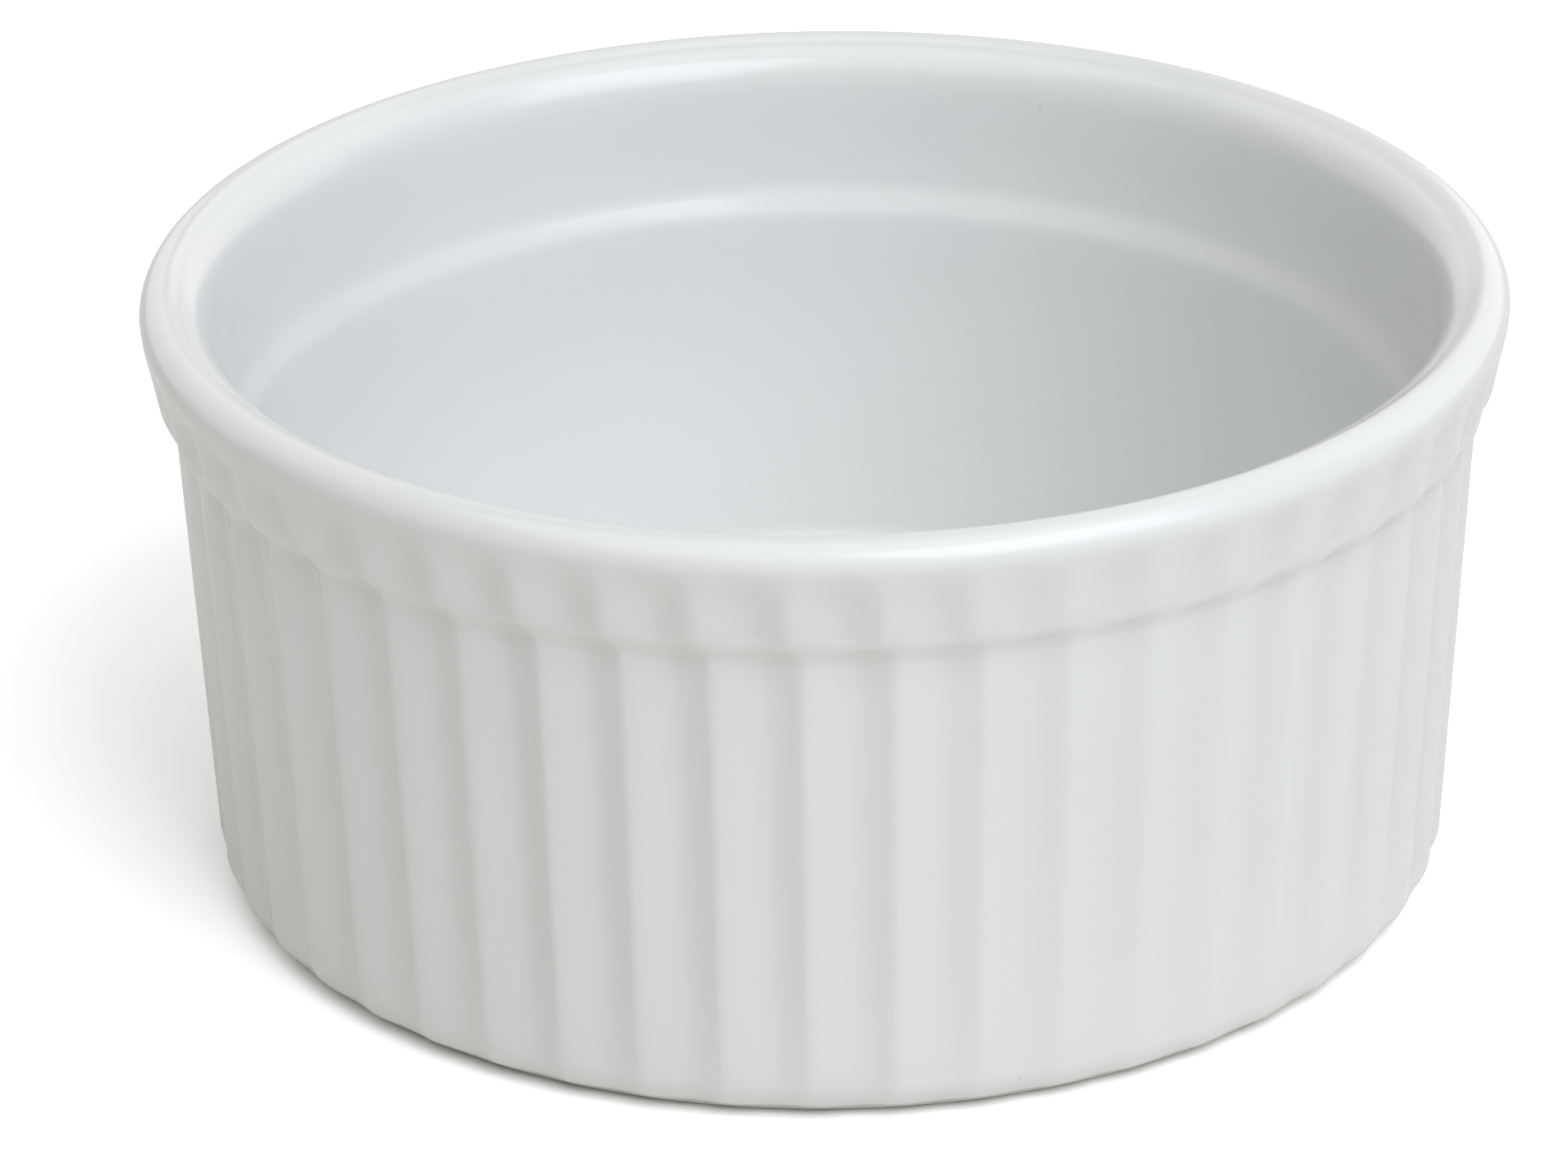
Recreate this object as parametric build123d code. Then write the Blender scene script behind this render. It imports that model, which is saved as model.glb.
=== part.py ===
# A porcelain ramekin: a pleated, straight-sided baking cup with a thick rounded rim band.
# It is a clay body, fired hard, that stands on a bare foot ring, and a fused glaze over all the rest of it.
# The origin is on the table under the middle of the cup, +Z is up and the photograph's side is -Y.
# Lengths are millimetres and angles degrees.
from build123d import *
import os
from math import cos, radians, sin, sqrt, tan

# Overall sizes
rim_diameter = 89.6
total_height = 41.6

# Wall under the rim band, which narrows towards the foot
wall_draft = 3.05
wall_thickness = 4.3

# Rim band, which bulges out from the wall and rolls over at the top into a round lip
band_height = 8.4
band_overhang = 1.9
band_face_lean = 10.5
band_edge_rise = 2.2
band_edge_round = 3.7
band_edge_turn = 50.0
lip_outer_radius = 1.8
lip_inner_radius = 2.8

# Inside, a narrow stacking ledge below the rim, then the wall, a round corner and a flat floor
collar_draft = 6.0
ledge_below_rim = 10.8
ledge_height = 0.9
ledge_round = 0.8
cup_draft = 2.0
floor_thickness = 2.8
floor_corner_radius = 2.5

# Foot, where the wall turns in under itself to a bearing ring round a shallow recess
foot_edge_radius = 3.3
foot_ring_width = 3.0
recess_depth = 0.9
recess_corner_radius = 0.6
recess_side_slope = 30.0

# Pleats, each of which stands proud at one edge and rolls down to a narrow valley at the other
pleat_count = 48
first_valley_angle = 5.2
valley_depth = 0.42
pleat_roll_width = 2.1
pleat_edge_width = 1.0
band_flute_radius = 2.5
band_flute_depth = 0.4
band_flute_lean = 14.5

# Glaze, its thickness and how far above the table it was wiped off the foot
glaze_thickness = 0.3
glaze_line = 0.6

# How far a cutting shape runs past what it cuts
overrun = 2.0

quarter_turn = 90.0

rim_radius = rim_diameter / 2
crest_radius = rim_radius - lip_outer_radius
lip_bottom = total_height - lip_outer_radius
band_bottom = total_height - band_height
draft_slope = tan(radians(wall_draft))
collar_slope = tan(radians(collar_draft))
cup_slope = tan(radians(cup_draft))


def wall_radius(height):
    """Outside radius of the pleats' crests at a height."""
    return rim_radius - band_overhang - (band_bottom - height) * draft_slope


face_slope = tan(radians(band_face_lean))
face_side = Vector(cos(radians(band_face_lean)), 0, -sin(radians(band_face_lean)))
face_top = Vector(crest_radius, 0, lip_bottom) + face_side * lip_outer_radius
band_edge_height = band_bottom + band_edge_rise
band_edge_radius = face_top.X - (face_top.Z - band_edge_height) * face_slope
bearing_radius = wall_radius(foot_edge_radius) - foot_edge_radius
recess_radius = bearing_radius - foot_ring_width
cup_floor = recess_depth + floor_thickness
ledge_top = total_height - ledge_below_rim
cup_top_radius = wall_radius(ledge_top) - wall_thickness


def at(radius, height):
    """Point of an outline that is drawn in radius and height."""
    return Vector(radius, 0, height)


def round_part(centre, radius, start, turn):
    """Part of a circle in the plane of the outlines, from an angle on that is 0 outwards and 90 upwards."""
    plane = Plane(origin=centre, x_dir=(1, 0, 0), z_dir=(0, -1, 0))
    return plane * CenterArc((0, 0), radius, start, turn)


def turned(*outline):
    """Solid of revolution about the cup's axis."""
    edges = [edge for piece in outline for edge in piece.edges()]
    return revolve(make_face(edges), Axis.Z)


def wall_blank(skin):
    """The wall without pleats, solid to the axis, with its surface a skin inside the glazed one."""
    inward = skin / cos(radians(wall_draft))
    middle = at(0, skin)
    foot_corner = at(wall_radius(skin) - inward, skin)
    top = at(wall_radius(lip_bottom) - inward, lip_bottom)
    side = FilletPolyline(middle, foot_corner, top, radius=foot_edge_radius - skin)
    rest = Polyline(top, at(0, top.Z), middle)
    return turned(side, rest)


def band_blank(skin):
    """The rim band without flutes, solid to the axis, with its surface a skin inside the glazed one."""
    lip_turn = quarter_turn + band_face_lean
    lip = round_part(at(crest_radius, lip_bottom), lip_outer_radius - skin, -band_face_lean, lip_turn)
    edge_centre = at(band_edge_radius, band_edge_height) - face_side * band_edge_round
    edge_start = -band_face_lean - band_edge_turn
    edge = round_part(edge_centre, band_edge_round - skin, edge_start, band_edge_turn)
    face = Line(edge @ 1, lip @ 0)
    inner = at(cup_top_radius, (edge @ 0).Z)
    rest = Polyline(edge @ 0, inner, at(0, inner.Z), at(0, (lip @ 1).Z), lip @ 1)
    return turned(edge, face, lip, rest)


def cup_space(skin):
    """The room inside the cup and above its lip, grown by a skin into the clay."""
    lip_centre = at(crest_radius, total_height - lip_inner_radius)
    lip = round_part(lip_centre, lip_inner_radius - skin, quarter_turn, quarter_turn - collar_draft)
    collar_radius = (lip @ 1).X - ((lip @ 1).Z - ledge_top) * collar_slope
    ledge_width = collar_radius - skin - cup_top_radius
    ledge_length = sqrt(ledge_width**2 + ledge_height**2)
    shift = at(skin, -skin * (ledge_length - ledge_height) / ledge_width)
    ledge_outer = at(collar_radius - skin, ledge_top) + shift
    ledge_inner = at(cup_top_radius, ledge_top - ledge_height) + shift
    corner = at(ledge_inner.X - (ledge_inner.Z - cup_floor) * cup_slope, cup_floor - skin)
    radii = [ledge_round + skin, ledge_round - skin, floor_corner_radius + skin]
    sides = FilletPolyline(lip @ 1, ledge_outer, ledge_inner, corner, at(0, corner.Z), radius=radii)
    above = total_height + overrun
    rest = Polyline(at(0, corner.Z), at(0, above), at(crest_radius, above), lip @ 0)
    return turned(lip, sides, rest)


def foot_recess(skin):
    """The shallow hollow under the cup, grown by a skin into the clay."""
    slope = radians(recess_side_slope)
    depth = recess_depth + skin
    mouth = recess_radius + skin / cos(slope)
    below = at(mouth + overrun * tan(slope), -overrun)
    corner = at(mouth - depth * tan(slope), depth)
    sides = FilletPolyline(below, corner, at(0, depth), radius=recess_corner_radius + skin)
    rest = Polyline(at(0, depth), at(0, -overrun), below)
    return turned(sides, rest)


def around(cutter):
    """One copy of a cutter at each valley."""
    return PolarLocations(0, pleat_count, first_valley_angle) * cutter


def rolled_side(width, skin):
    """Round side of a pleat: a circle that meets the wall's surface flush and drops to the valley."""
    radius = (width**2 + valley_depth**2) / (2 * valley_depth)
    return Pos(valley_depth - radius, 0) * Circle(radius - skin)


def valley_cutter(skin):
    """Cutter between two pleats, along the wall: a gentle roll at one side and a tighter edge at the other."""
    outward = Vector(cos(radians(wall_draft)), 0, -sin(radians(wall_draft)))
    upward = Vector(sin(radians(wall_draft)), 0, cos(radians(wall_draft)))
    start = at(wall_radius(0), 0) - outward * valley_depth - upward * overrun
    plane = Plane(origin=start, x_dir=outward, z_dir=upward)
    gap = Rectangle(valley_depth * 2 + overrun, pleat_roll_width + pleat_edge_width, align=(Align.MIN, Align.MIN))
    gap = Pos(-valley_depth, -pleat_roll_width) * gap
    roll = Pos(0, -pleat_roll_width) * rolled_side(pleat_roll_width, skin)
    edge = Pos(0, pleat_edge_width) * rolled_side(pleat_edge_width, skin)
    section = gap - roll - edge
    return extrude(plane * section, total_height)


def band_flute(skin):
    """Cutter for a shallow flute in the rim band, which leans out of the face and dies away below the lip."""
    along = Vector(sin(radians(band_flute_lean)), 0, cos(radians(band_flute_lean)))
    outward = Vector(along.Z, 0, -along.X)
    low = at(band_edge_radius, band_edge_height) - outward * band_flute_depth
    start = low - along * (band_edge_rise + overrun) + outward * band_flute_radius
    section = Plane(origin=start, z_dir=along) * Circle(band_flute_radius + skin)
    return extrude(section, band_height + overrun * 2)


def ware(skin):
    """The whole cup, with every surface a skin inside the glazed one."""
    wall = wall_blank(skin) - around(valley_cutter(skin))
    band = band_blank(skin) - around(band_flute(skin))
    return wall + band - cup_space(skin) - foot_recess(skin)


os.makedirs("parts", exist_ok=True)

glazed = ware(0)
clay = ware(glaze_thickness)
wiped = Box(rim_diameter, rim_diameter, glaze_line, align=(Align.CENTER, Align.CENTER, Align.MIN))
porcelain_body = clay + (glazed & wiped)
glaze = (glazed - wiped - clay).solids().sort_by(SortBy.VOLUME)

export_step(porcelain_body, "parts/porcelain_body.step")
export_step(glaze[-1], "parts/cup_glaze.step")
export_step(glaze[0], "parts/underside_glaze.step")
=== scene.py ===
# A white porcelain ramekin: a pleated baking cup, glazed inside and out, that stands on a bare foot ring.
from math import cos, radians, sin, tan
import bpy
import numpy as np
from mathutils import Matrix, Vector


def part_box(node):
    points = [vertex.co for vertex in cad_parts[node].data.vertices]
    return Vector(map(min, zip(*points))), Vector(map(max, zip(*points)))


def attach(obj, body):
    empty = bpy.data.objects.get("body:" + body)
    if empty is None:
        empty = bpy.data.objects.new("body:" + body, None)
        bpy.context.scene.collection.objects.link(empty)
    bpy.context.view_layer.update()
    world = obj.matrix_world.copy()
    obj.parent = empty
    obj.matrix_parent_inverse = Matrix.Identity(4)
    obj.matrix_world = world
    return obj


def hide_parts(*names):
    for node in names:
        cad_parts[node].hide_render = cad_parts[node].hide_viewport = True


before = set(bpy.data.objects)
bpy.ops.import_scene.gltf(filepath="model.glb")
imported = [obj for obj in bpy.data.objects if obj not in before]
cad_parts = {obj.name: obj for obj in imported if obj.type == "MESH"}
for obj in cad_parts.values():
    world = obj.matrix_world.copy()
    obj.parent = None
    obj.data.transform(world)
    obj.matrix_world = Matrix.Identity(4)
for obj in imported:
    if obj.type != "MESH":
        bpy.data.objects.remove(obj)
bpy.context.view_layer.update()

# Porcelain body
# The fired clay cup, formed in one piece in a pleated mould, with its rim band, lip and stacking ledge.
# It is matt and a little creamy on the ring that it stands on, the only place where it shows:
# all the rest is glazed.
MM = 0.001
low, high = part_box("cup_glaze")
rim_radius = (high[0] - low[0]) / 2
rim_top = high[2]
wiped_height = low[2]
glaze_thickness = 0.3 * MM

# Sizes of the section, with its leans and drafts in degrees
band_bottom = rim_top - 8.4 * MM
wall_draft = 3.05
wall_top_radius = rim_radius - 1.9 * MM
foot_edge_round = 3.3 * MM
ring_width = 3.0 * MM
recess_depth = 0.9 * MM
recess_slope = tan(radians(30))
lip_round = 1.8 * MM
lip_inner_round = 2.8 * MM
crest_radius = rim_radius - lip_round
face_lean = 10.5
band_edge_round = 3.7 * MM
band_edge_height = band_bottom + 2.2 * MM
joint_lean = 47
ledge_top = rim_top - 10.8 * MM
ledge_height = 0.9 * MM
wall_thickness = 4.3 * MM
cup_draft = 2.0
collar_draft = 6.0
cup_floor = 3.7 * MM
floor_corner = 2.5 * MM
past_axis = 5 * MM
arc_points = 40

# How far corners are melted round, in general, under the band, at the ledge and inside the lip, and where
general_melt = 0.2 * MM
joint_melt = 0.5 * MM
ledge_melt = 0.8 * MM
lip_melt = 1.3 * MM
joint_reach = 1.1 * MM
ledge_reach = 3 * MM
melt_fade = 2 * MM
lip_fade = 1 * MM

# Spacing of the mesh's rows: at most, over the band, on slopes at the wiped line, and in degrees at bends
walk_step = 0.04 * MM
row_gap = 5 * MM
band_row_gap = 0.6 * MM
line_row_gap = 0.12 * MM
line_reach = 0.35 * MM
slope_share = 0.3
row_turn = 9
middle_hole = 1.5 * MM

# Pleats, whose first edge is an angle in degrees, and between which heights they and the flutes fade
pleat_count = 48
per_pleat = 16
first_edge = 5.35
edge_lead = 0.3
edge_crowding = 0.1
pleat_depth = 0.55 * MM
cove_width = 2.3 * MM
face_power = 1.4
wall_blur = 0.28 * MM
band_blur = 0.4 * MM
band_shift = 0.9 * MM
foot_fade = (0, 1.2 * MM)
wall_rise = (-3.5 * MM, 9 * MM)
wall_end = (band_bottom - 0.5 * MM, band_bottom + 1.3 * MM)
band_start = (band_bottom + 0.2 * MM, band_bottom + 1.9 * MM)
band_end = (rim_top - 4.8 * MM, rim_top - 1.4 * MM)

# Groove left where the glaze was wiped, and how much of the bend and of the pleats counts as hollow
groove_depth = 0.1 * MM
groove_width = 0.25 * MM
bend_share = 0.3 * MM
hollow_share = 0.5


def arc(centre, radius, start, end):
    """Part of a circle: centre + radius * (cos a, sin a) for even steps of a, in degrees."""
    way = np.radians(np.linspace(start, end, arc_points))
    return np.array(centre) + radius * np.column_stack((np.cos(way), np.sin(way)))


def wall_radius(height):
    """Radius of the pleats' crests: the radius under the band less the drop times the draft's slope."""
    return wall_top_radius - (band_bottom - height) * tan(radians(wall_draft))


def sharp_outline():
    """Radius and height all the way round the cup's section, from the underside's middle to the floor's.

    It is one line through the recess, the foot ring, the wall, the band, the lip, the ledge and the floor's
    corner, in which rounds are parts of circles, and it runs past the axis at both ends.
    """
    foot_centre = (wall_radius(foot_edge_round) - foot_edge_round, foot_edge_round)
    ring_inner = foot_centre[0] - ring_width
    recess_corner = ring_inner - recess_depth * recess_slope
    recess = ((-past_axis, recess_depth), (recess_corner, recess_depth), (ring_inner, 0))
    foot = arc(foot_centre, foot_edge_round, -90, -wall_draft)
    side = np.array((cos(radians(face_lean)), -sin(radians(face_lean))))
    lip_centre = np.array((crest_radius, rim_top - lip_round))
    face_top = lip_centre + side * lip_round
    face_drop = face_top[1] - band_edge_height
    face_foot = (face_top[0] - face_drop * tan(radians(face_lean)), band_edge_height)
    edge = arc(face_foot - side * band_edge_round, band_edge_round, -joint_lean, -face_lean)
    lip = arc(lip_centre, lip_round, -face_lean, 90)
    inner_lip = arc((crest_radius, rim_top - lip_inner_round), lip_inner_round, 90, 180 - collar_draft)
    collar_foot = inner_lip[-1][0] - (inner_lip[-1][1] - ledge_top) * tan(radians(collar_draft))
    ledge_bottom = ledge_top - ledge_height
    cup_top_radius = wall_radius(ledge_top) - wall_thickness
    ledge = ((collar_foot, ledge_top), (cup_top_radius, ledge_bottom))
    cup_drop = ledge_bottom - cup_floor - floor_corner
    corner_radius = cup_top_radius - cup_drop * tan(radians(cup_draft)) - floor_corner
    corner = arc((corner_radius, cup_floor + floor_corner), floor_corner, -cup_draft, -90)
    return np.vstack((recess, foot, edge, lip, inner_lip, ledge, corner, (-past_axis, cup_floor)))


def smoothed(line, width):
    """A line of even steps, melted: each point becomes the Gaussian mean of its neighbours."""
    reach = int(4 * width / walk_step)
    weight = np.exp(-0.5 * (np.arange(-reach, reach + 1) * walk_step / width) ** 2)
    padded = np.vstack((np.repeat(line[:1], reach, axis=0), line, np.repeat(line[-1:], reach, axis=0)))
    return np.column_stack([np.convolve(column, weight / weight.sum(), "valid") for column in padded.T])


def step_up(value, start, end):
    """Smooth step from 0 at start to 1 at end: 3 t^2 - 2 t^3."""
    share = np.clip((value - start) / (end - start), 0, 1)
    return share * share * (3 - 2 * share)


def soft_outline():
    """The outline as fired, in rows of radius and height, outward normal, bend, and whether it is inside.

    The sharp outline is walked in even steps and melted, by the general width and more under the band, at
    the ledge and inside the lip. Rows are taken at even steps of a sum of the length and the turning, with
    more over the band and on the slopes at the wiped line.
    """
    sharp = sharp_outline()
    walked = np.concatenate(((0,), np.cumsum(np.linalg.norm(np.diff(sharp, axis=0), axis=1))))
    length = np.arange(0, walked[-1], walk_step)
    line = np.column_stack([np.interp(length, walked, column) for column in sharp.T])
    radius, height = line.T
    inside = length > length[np.argmax(height)]
    above_ledge = step_up(height, ledge_top + ledge_reach, ledge_top + ledge_reach + melt_fade)
    below_ledge = step_up(height, ledge_top - ledge_reach - melt_fade, ledge_top - ledge_reach)
    joint_share = ~inside * np.exp(-((height - band_bottom) / joint_reach) ** 2)
    ledge_share = inside * below_ledge * (1 - above_ledge)
    lip_share = inside * above_ledge * step_up(crest_radius - radius, 0, lip_fade)
    soft = smoothed(line, general_melt)
    soft += (smoothed(line, joint_melt) - soft) * joint_share[:, None]
    soft += (smoothed(line, ledge_melt) - soft) * ledge_share[:, None]
    soft += (smoothed(line, lip_melt) - soft) * lip_share[:, None]
    soft *= (rim_radius / soft[:, 0].max(), rim_top / soft[:, 1].max())
    along = np.gradient(soft, axis=0)
    along /= np.linalg.norm(along, axis=1)[:, None]
    turning = np.gradient(np.unwrap(np.arctan2(along[:, 1], along[:, 0]))) / walk_step
    banded = ~inside * (height > band_bottom - joint_melt - general_melt)
    at_line = ~inside * (np.abs(height - wiped_height) < line_reach) * (np.abs(along[:, 1]) > slope_share)
    density = 1 / row_gap + np.abs(turning) / radians(row_turn)
    density += banded / band_row_gap + at_line / line_row_gap
    density *= soft[:, 0] > middle_hole
    reached = np.cumsum(density) * walk_step
    rows = np.searchsorted(reached, np.linspace(0, reached[-1], int(reached[-1]))[1:])
    return soft[rows], np.column_stack((along[rows, 1], -along[rows, 0])), turning[rows], inside[rows]


def pleat_angles():
    """Angles round the cup, closer together near each pleat's edge.

    Each pleat's are its pitch times u - sin(2 pi u) * crowding for even steps of u, from a little before
    its edge on.
    """
    share = np.arange(per_pleat) / per_pleat
    share = share - np.sin(2 * np.pi * share) * edge_crowding
    turned = 360 / pleat_count * (np.arange(pleat_count)[:, None] + share)
    return np.radians(first_edge - edge_lead + turned).ravel()


def pleats(angle, shift, blur):
    """Depth below the pleats' edges at each angle, as a share of the full depth, after a shift and a melt.

    From each edge to its left lies a cove, 1 - (1 - v / w)^2 deep at a distance v in its width w, and from
    the cove a face comes out again to the next edge as a power of what is left of the pitch. The shape's
    waves are each weakened by exp(-2 (pi b f)^2), and each pleat is a little displaced and stronger or
    weaker than the next.
    """
    samples = 256
    pitch = 2 * np.pi / pleat_count * wall_top_radius
    place = np.arange(samples) / samples * pitch
    face = np.minimum((pitch - place) / (pitch - cove_width), 1) ** face_power
    drop = np.where(place < cove_width, 1 - (1 - place / cove_width) ** 2, face)
    waves = np.fft.rfftfreq(samples, pitch / samples)
    soft = np.fft.irfft(np.fft.rfft(drop) * np.exp(-2 * (np.pi * blur * waves) ** 2))
    turn = (radians(first_edge) - angle) * pleat_count / (2 * np.pi) - shift / pitch
    number = np.floor(turn).astype(int) % pleat_count
    return np.interp((turn % 1) * pitch + displaced[number], place, soft, period=pitch) * strength[number]


def ware(rows, skin):
    """Points of the cup's surface on a grid of rows and angles, moved in by a skin, and how hollow each is.

    Each point is the outline less its normal times the sum of the pleats' depth, which fades at the foot, at
    the band's lower edge and into the lip and is softer on the band, of the groove where the glaze was
    wiped, exp(-(h / w)^2) deep, and of the skin. A place is hollow by its inward bend and its pleat's depth.
    """
    line, normal, turning, inner = (part[rows] for part in profile)
    height = line[:, 1:]
    outer = ~inner[:, None] * (line[:, :1] > ring_middle)
    on_wall = step_up(height, *foot_fade) * step_up(height, *wall_rise) * (1 - step_up(height, *wall_end))
    on_band = step_up(height, *band_start) * (1 - step_up(height, *band_end))
    relief = on_wall * pleats(angles, 0, wall_blur) + on_band * pleats(angles, band_shift, band_blur)
    relief = outer * relief
    groove = ~inner[:, None] * groove_depth * np.exp(-((height - wiped_height) / groove_width) ** 2)
    inset = pleat_depth * relief + groove + skin
    radius = line[:, :1] - normal[:, :1] * inset
    level = height - normal[:, 1:] * inset
    points = np.stack((radius * np.cos(angles), radius * np.sin(angles), level), axis=2)
    hollow = np.clip(-turning[:, None] * bend_share, 0, hollow_share) + hollow_share * relief
    return points, np.clip(hollow, 0, 1)


def lathed(name, points, hollow):
    """Closed mesh of a grid of rings, with how hollow each point is kept as an attribute for the glaze's
    pooling and painted shade.

    Neighbouring rings are joined by quads, and the first and the last ring by a fan to its middle.
    """
    rings, around = points.shape[:2]
    index = np.arange(rings * around).reshape(rings, around)
    beside = np.roll(index, -1, axis=1)
    quads = np.stack((index[:-1], beside[:-1], beside[1:], index[1:]), axis=2).reshape(-1, 4)
    first = np.full(around, rings * around)
    last = first + 1
    underneath = np.stack((beside[0], index[0], first), axis=1)
    on_top = np.stack((index[-1], beside[-1], last), axis=1)
    middles = points[[0, -1]].mean(axis=1)
    faces = quads.tolist() + underneath.tolist() + on_top.tolist()
    mesh = bpy.data.meshes.new(name)
    mesh.from_pydata(np.vstack((points.reshape(-1, 3), middles)).tolist(), [], faces)
    pooling_and_shade = mesh.attributes.new("pooling_and_shade", "FLOAT", "POINT")
    pooling_and_shade.data.foreach_set("value", np.append(hollow.ravel(), (0, 0)))
    mesh.shade_smooth()
    piece = bpy.data.objects.new(name, mesh)
    bpy.context.collection.objects.link(piece)
    return piece


unevenness = np.random.default_rng(48).uniform(-0.1, 0.1, (2, pleat_count))
displaced = unevenness[0] * MM
strength = 1 + unevenness[1]
angles = pleat_angles()
profile = soft_outline()
ring_middle = wall_radius(0) - foot_edge_round - ring_width / 2
in_recess = profile[0][:, 0] < ring_middle
above_line = profile[0][:, 1] > wiped_height
row_numbers = np.arange(len(above_line))
recess_rows = row_numbers[:np.argmin(above_line)]
cup_rows = row_numbers[np.argmax(above_line & ~in_recess):]
ring_rows = row_numbers[len(recess_rows):cup_rows[0]]
clay_row_step = 3
clay_rows = np.append(cup_rows[:-1:clay_row_step], cup_rows[-1])

recess_clay, recess_hollow = ware(recess_rows, glaze_thickness)
ring, ring_hollow = ware(ring_rows, 0)
cup_clay, cup_hollow = ware(clay_rows, glaze_thickness)
body = lathed("porcelain_clay", np.concatenate((recess_clay, ring, cup_clay)),
              np.concatenate((recess_hollow, ring_hollow, cup_hollow)))


def add(tree, kind, inputs, **settings):
    """Adds a node with its settings, and gives each input a link where it is a socket or else a value."""
    node = tree.nodes.new(kind)
    for name, value in settings.items():
        setattr(node, name, value)
    for name, value in inputs.items():
        if isinstance(value, bpy.types.NodeSocket):
            tree.links.new(value, node.inputs[name])
        else:
            node.inputs[name].default_value = value
    return node.outputs


def combined(tree, operation, first, second):
    """Two values put together by a Math node's operation, such as their product."""
    return add(tree, "ShaderNodeMath", {0: first, 1: second}, operation=operation)["Value"]


def mixed(tree, share, first, second):
    """Colour between two colours by a share: a Mix node's inputs 0, 6 and 7 and output 2."""
    return add(tree, "ShaderNodeMix", {0: share, 6: first, 7: second}, data_type="RGBA")[2]


def fired_group():
    """Node group for fired ware: a slow mottle, a few iron specks, and a level of waves and fine grain."""
    speck_cells = 260.0
    speck_edge, speck_core = 0.05, 0.03
    wave_scale = 90.0
    group = bpy.data.node_groups.new("fired_ware", "ShaderNodeTree")
    for name in ("Mottle Scale", "Grain Scale", "Grain Share", "Speck Share"):
        group.interface.new_socket(name, in_out="INPUT", socket_type="NodeSocketFloat")
    for name in ("Mottle", "Specks", "Level"):
        group.interface.new_socket(name, in_out="OUTPUT", socket_type="NodeSocketFloat")
    given = group.nodes.new("NodeGroupInput").outputs
    place = add(group, "ShaderNodeTexCoord", {})["Object"]
    mottle = {"Vector": place, "Scale": given["Mottle Scale"], "Detail": 3.0}
    cells = add(group, "ShaderNodeTexVoronoi", {"Vector": place, "Scale": speck_cells})
    dot = {"Value": cells["Distance"], "From Min": speck_edge, "From Max": speck_core}
    drawn = add(group, "ShaderNodeSeparateColor", {"Color": cells["Color"]})["Red"]
    chosen = combined(group, "LESS_THAN", drawn, given["Speck Share"])
    specks = combined(group, "MULTIPLY", add(group, "ShaderNodeMapRange", dot)["Result"], chosen)
    waves = {"Vector": place, "Scale": wave_scale, "Detail": 1.0}
    grain = {"Vector": place, "Scale": given["Grain Scale"], "Detail": 2.0}
    level = {
        "Factor": given["Grain Share"],
        "A": add(group, "ShaderNodeTexNoise", waves)["Fac"],
        "B": add(group, "ShaderNodeTexNoise", grain)["Fac"],
    }
    put_out = {
        "Mottle": add(group, "ShaderNodeTexNoise", mottle)["Fac"],
        "Specks": specks,
        "Level": add(group, "ShaderNodeMix", level)["Result"],
    }
    add(group, "NodeGroupOutput", put_out)
    return group


def fired_material(name, colours, rough, mottle, grain, relief, specks):
    """Material of one finish: its two colours mixed by the mottle, and its roughness between two values.

    The mottle and the grain are scales, with the grain's share of the level, and the relief is the level's
    height. Returns the material with its tree, its shader, its mixed colour and the group's outputs.
    """
    patch_low, patch_high = 0.35, 0.65
    rough_low, rough_high = 0.3, 0.7
    material = bpy.data.materials.new(name)
    material.use_nodes = True
    tree = material.node_tree
    values = {
        "Mottle Scale": mottle,
        "Grain Scale": grain[0],
        "Grain Share": grain[1],
        "Speck Share": specks,
    }
    marks = add(tree, "ShaderNodeGroup", values, node_tree=fired_ware)
    patchy = {"Value": marks["Mottle"], "From Min": patch_low, "From Max": patch_high}
    colour = mixed(tree, add(tree, "ShaderNodeMapRange", patchy)["Result"], *colours)
    roughness = {
        "Value": marks["Mottle"],
        "From Min": rough_low,
        "From Max": rough_high,
        "To Min": rough[0],
        "To Max": rough[1],
    }
    shader = tree.nodes["Principled BSDF"]
    tree.links.new(add(tree, "ShaderNodeMapRange", roughness)["Result"], shader.inputs["Roughness"])
    bump = add(tree, "ShaderNodeBump", {"Height": marks["Level"], "Distance": relief})["Normal"]
    tree.links.new(bump, shader.inputs["Normal"])
    return material, tree, shader, colour, marks


fired_ware = fired_group()
bare, tree, shader, colour, marks = fired_material(
    "bare_porcelain",
    colours=((0.70, 0.67, 0.61, 1), (0.62, 0.585, 0.52, 1)),
    rough=(0.6, 0.8),
    mottle=120.0,
    grain=(2600.0, 0.8),
    relief=0.06 * MM,
    specks=0.3,
)
table_dirt = (0.30, 0.24, 0.18, 1)
tree.links.new(mixed(tree, marks["Specks"], colour, table_dirt), shader.inputs["Base Color"])
body.data.materials.append(bare)
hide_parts("porcelain_body")
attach(body, "root")

# Cup glaze
# The clear glossy glaze fused over the cup in its second firing, outside, over the rim and inside.
# It follows the pleats and flutes of the clay, melts their edges, pools a little in the valleys, and ends
# at a line wiped round the foot. Its colour is tinted and darkened in the hollows, creases, corners and
# pleat coves, partly as pooled glaze and partly as painted shade.
surface, cup_pooling_and_shade = ware(cup_rows, 0)
coat = lathed("cup_glaze_coat", np.concatenate((cup_clay[::-1], surface)),
              np.concatenate((cup_hollow[::-1], cup_pooling_and_shade)))

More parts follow.
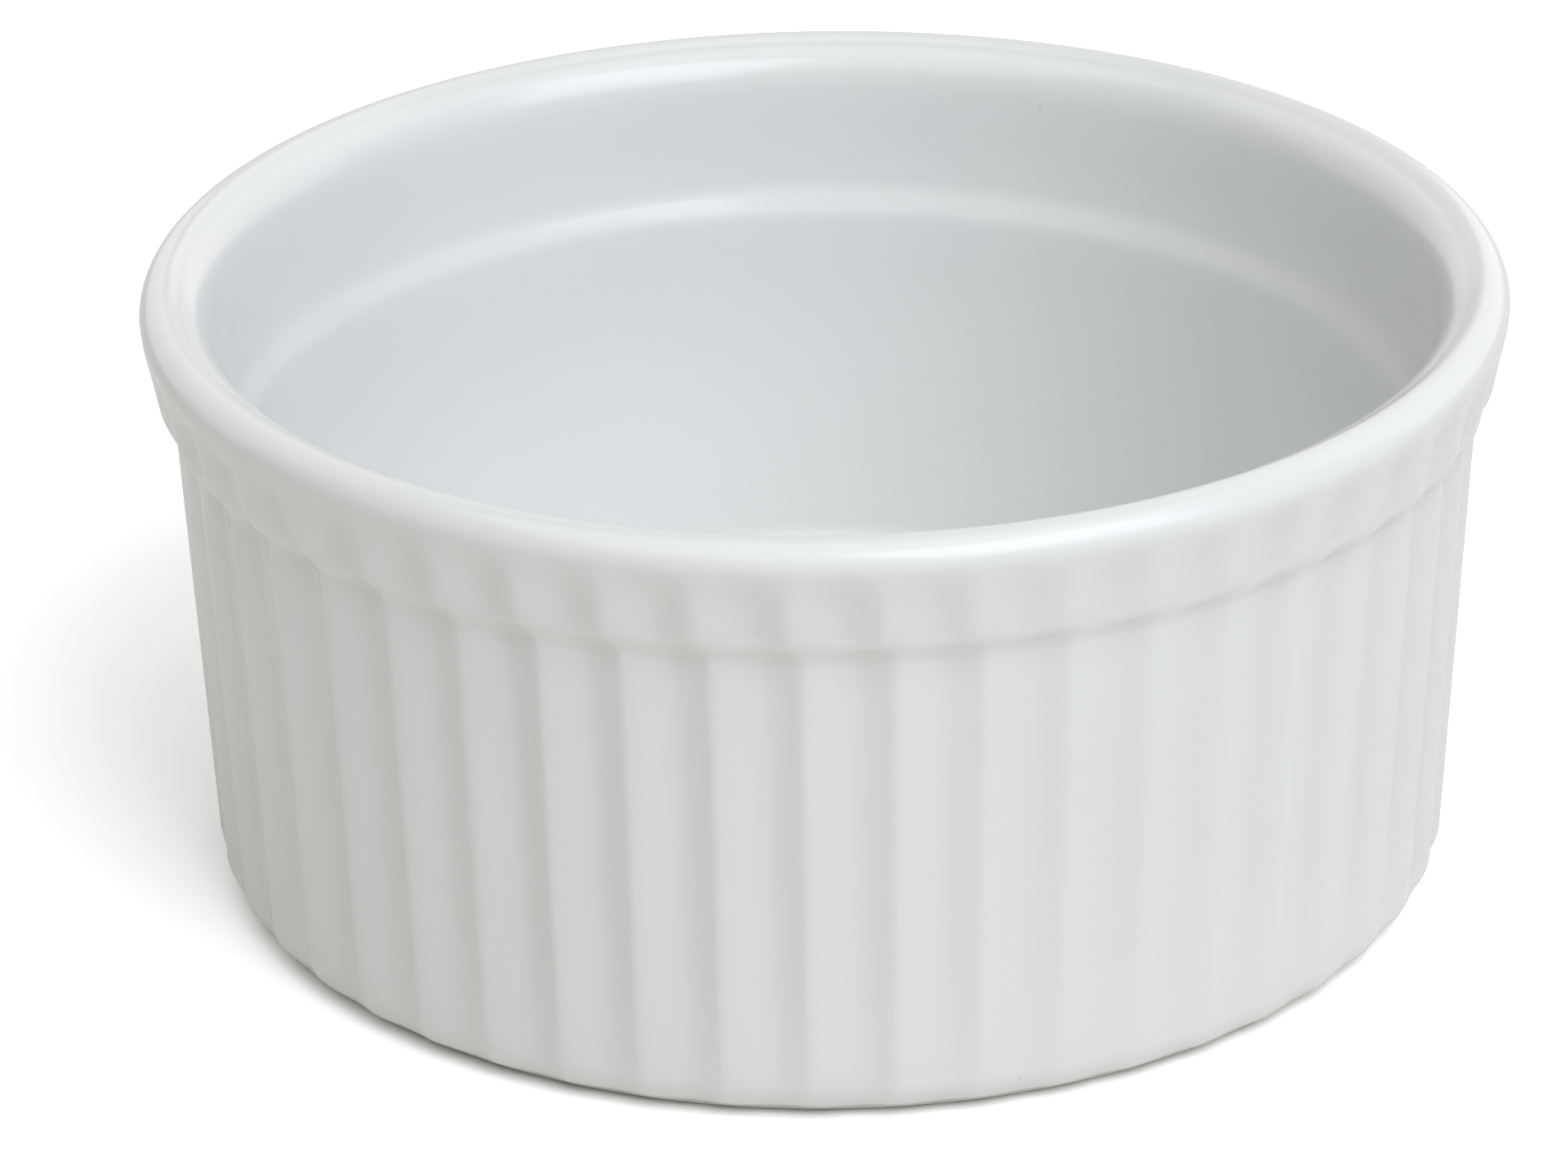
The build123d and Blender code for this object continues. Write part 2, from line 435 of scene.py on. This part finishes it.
glaze, tree, shader, colour, marks = fired_material(
    "white_glaze",
    colours=((0.745, 0.755, 0.755, 1), (0.755, 0.765, 0.77, 1)),
    rough=(0.16, 0.21),
    mottle=60.0,
    grain=(900.0, 0.12),
    relief=0.03 * MM,
    specks=0.08,
)
# Pooled glaze and painted shade: the glaze goes greener and darker by how hollow each place is
pool_and_shade_colour = (0.60, 0.62, 0.585, 1)
pool_and_shade_share = 0.5
iron_colour = (0.34, 0.30, 0.24, 1)
iron_share = 0.25
pooling_and_shade = add(tree, "ShaderNodeAttribute", {}, attribute_name="pooling_and_shade")["Fac"]
pool_and_shade_tinted = mixed(tree, combined(tree, "MULTIPLY", pooling_and_shade, pool_and_shade_share), colour, pool_and_shade_colour)
specked = mixed(tree, combined(tree, "MULTIPLY", marks["Specks"], iron_share), pool_and_shade_tinted, iron_colour)
tree.links.new(specked, shader.inputs["Base Color"])
coat.data.materials.append(glaze)
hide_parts("cup_glaze")
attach(coat, "root")

# Underside glaze
# The patch of the same glaze in the shallow recess inside the foot ring, cut off from the rest by the
# bare ring. It was dipped with the rest of the cup and fused in the same firing.
recess_surface, recess_pooling_and_shade = ware(recess_rows, 0)
patch = lathed("underside_glaze_coat", np.concatenate((recess_surface, recess_clay[::-1])),
               np.concatenate((recess_pooling_and_shade, recess_hollow[::-1])))
patch.data.materials.append(glaze)
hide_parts("underside_glaze")
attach(patch, "root")

# Studio
# A plain white table under soft boxes, the strongest above the cup and in front of it to the right.
# The camera sees the table a little whiter than it lights the cup, as on the cut-out photograph, and the
# camera and the glaze's reflections see the room brighter than it is.
table_colour = (0.87, 0.865, 0.82, 1)
seen_table_colour = (1.4, 1.4, 1.42, 1)
room_colour = (1.0, 0.97, 0.92, 1)
room_strength = 0.02
seen_room_strength = 0.85
cup_middle = Vector((0, 0, 0.02))

bpy.ops.mesh.primitive_plane_add(size=6, location=(0, 0, 0))
table = bpy.context.object
table.name = "studio_table"
paint = bpy.data.materials.new("white_table")
paint.use_nodes = True
tree = paint.node_tree
shader = tree.nodes["Principled BSDF"]
shader.inputs["Roughness"].default_value = 0.9
by_camera = add(tree, "ShaderNodeLightPath", {})["Is Camera Ray"]
white = mixed(tree, by_camera, table_colour, seen_table_colour)
tree.links.new(white, shader.inputs["Base Color"])
table.data.materials.append(paint)

room = bpy.data.worlds.new("studio_room")
bpy.context.scene.world = room
room.use_nodes = True
tree = room.node_tree
path = add(tree, "ShaderNodeLightPath", {})
seen = combined(tree, "MAXIMUM", path["Is Camera Ray"], path["Is Glossy Ray"])
brightness = {"Value": seen, "To Min": room_strength, "To Max": seen_room_strength}
background = tree.nodes["Background"]
tree.links.new(add(tree, "ShaderNodeMapRange", brightness)["Result"], background.inputs["Strength"])
background.inputs["Color"].default_value = room_colour


def softbox(name, place, size, power, colour):
    """Square area light at a place, turned to the cup."""
    lamp = bpy.data.lights.new(name, "AREA")
    lamp.size = size
    lamp.energy = power
    lamp.color = colour
    holder = bpy.data.objects.new(name, lamp)
    bpy.context.collection.objects.link(holder)
    way = cup_middle - Vector(place)
    holder.matrix_world = Matrix.Translation(place) @ way.to_track_quat("-Z", "Y").to_matrix().to_4x4()


softbox("softbox_front_right", (0.72, -0.86, 1.05), size=1.2, power=13.2, colour=(0.91, 0.93, 1.0))
softbox("softbox_front", (0.1, -1.3, 0.5), size=1.0, power=0.8, colour=(1.0, 1.0, 1.0))
softbox("softbox_overhead", (0.0, -0.5, 1.3), size=2.0, power=16.0, colour=(0.985, 1.0, 0.965))
softbox("softbox_right_back", (0.8, 0.8, 0.5), size=1.5, power=4.9, colour=(1.0, 1.0, 1.0))
softbox("softbox_left_back", (-0.8, 0.8, 0.5), size=1.5, power=4.2, colour=(1.0, 0.99, 0.98))

# Camera
# The photograph was taken from 27 degrees above the table, a little under half a metre away.
# Its width and focal length are in pixels, and its roll, about the line of sight, is in radians.
photo_width = 1911
photo_focal = 8333.03
distance, elevation = 0.46562, radians(27.0709)
aim = Vector((-2.9171 * MM, 0, 18.5309 * MM))
roll = -0.0152
place = Vector((0, -distance * cos(elevation), distance * sin(elevation)))
way = (aim - place).normalized()
right = way.cross(Vector((0, 0, 1))).normalized()
up = right.cross(way)
right, up = right * cos(roll) + up * sin(roll), up * cos(roll) - right * sin(roll)
camera = bpy.data.cameras.new("camera")
camera.sensor_width = 36
camera.lens = photo_focal * camera.sensor_width / photo_width
holder = bpy.data.objects.new("camera", camera)
bpy.context.collection.objects.link(holder)
turn = Matrix((right, up, -way)).transposed().to_4x4()
holder.matrix_world = Matrix.Translation(place) @ turn
bpy.context.scene.camera = holder
bpy.context.scene.view_settings.view_transform = "Standard"
